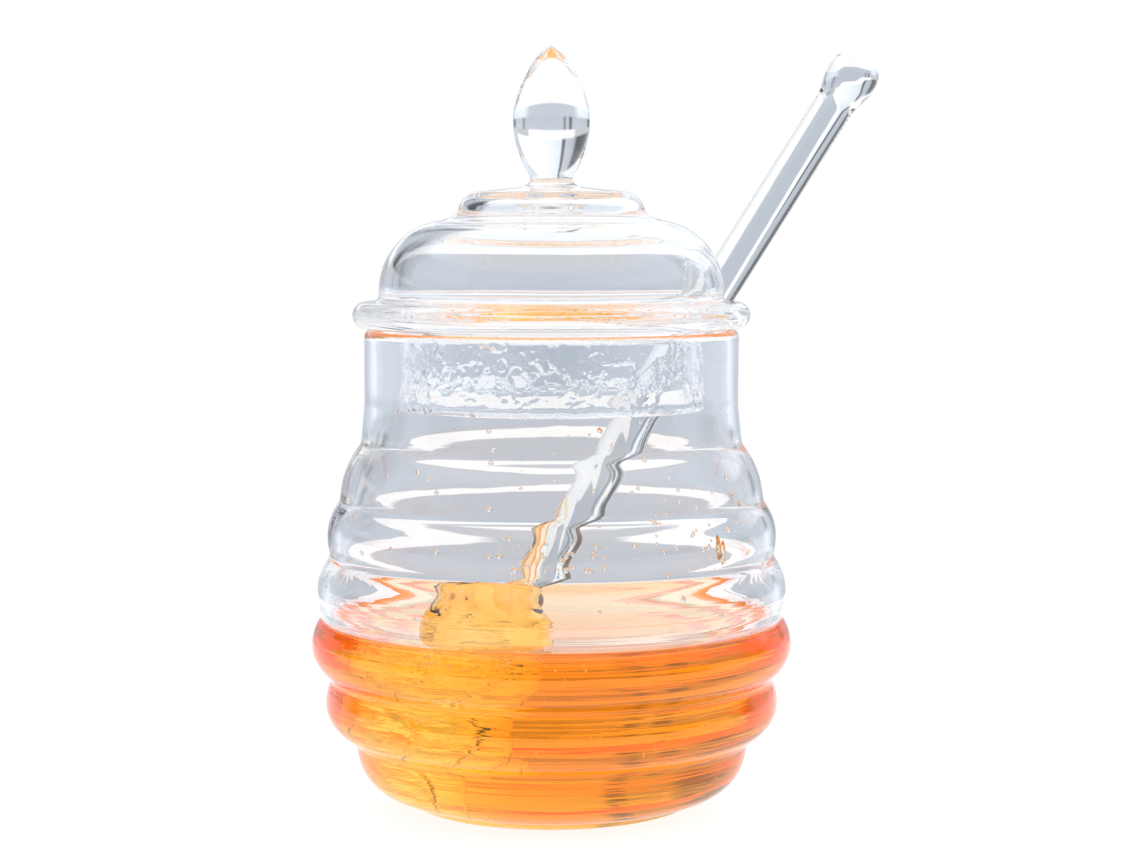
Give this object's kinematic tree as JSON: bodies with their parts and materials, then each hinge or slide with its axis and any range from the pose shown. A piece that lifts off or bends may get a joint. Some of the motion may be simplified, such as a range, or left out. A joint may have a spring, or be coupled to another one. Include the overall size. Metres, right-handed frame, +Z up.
{
  "type": "glass honey pot",
  "caption": "Ribbed glass honey pot, partly filled, with a domed knobbed lid and a glass dipper leaning out through the lid's notch.",
  "frame": {"origin": "centre of the jar's flat foot, on the surface that it stands on", "axes": "+Z up along the jar's axis; the lid's notch and the dipper point 18 degrees from +X towards +Y"},
  "size_m": [0.109, 0.0908, 0.1434],
  "materials": {
    "jar_glass": "clear, polished",
    "honey": "clear amber liquid, glossy",
    "lid_glass": "clear, polished",
    "dipper_glass": "clear, polished, solid"
  },
  "bodies": {
    "root": {"jar": "jar_glass", "honey": "honey", "lid": "lid_glass", "dipper": "dipper_glass"}
  },
  "joints": []
}
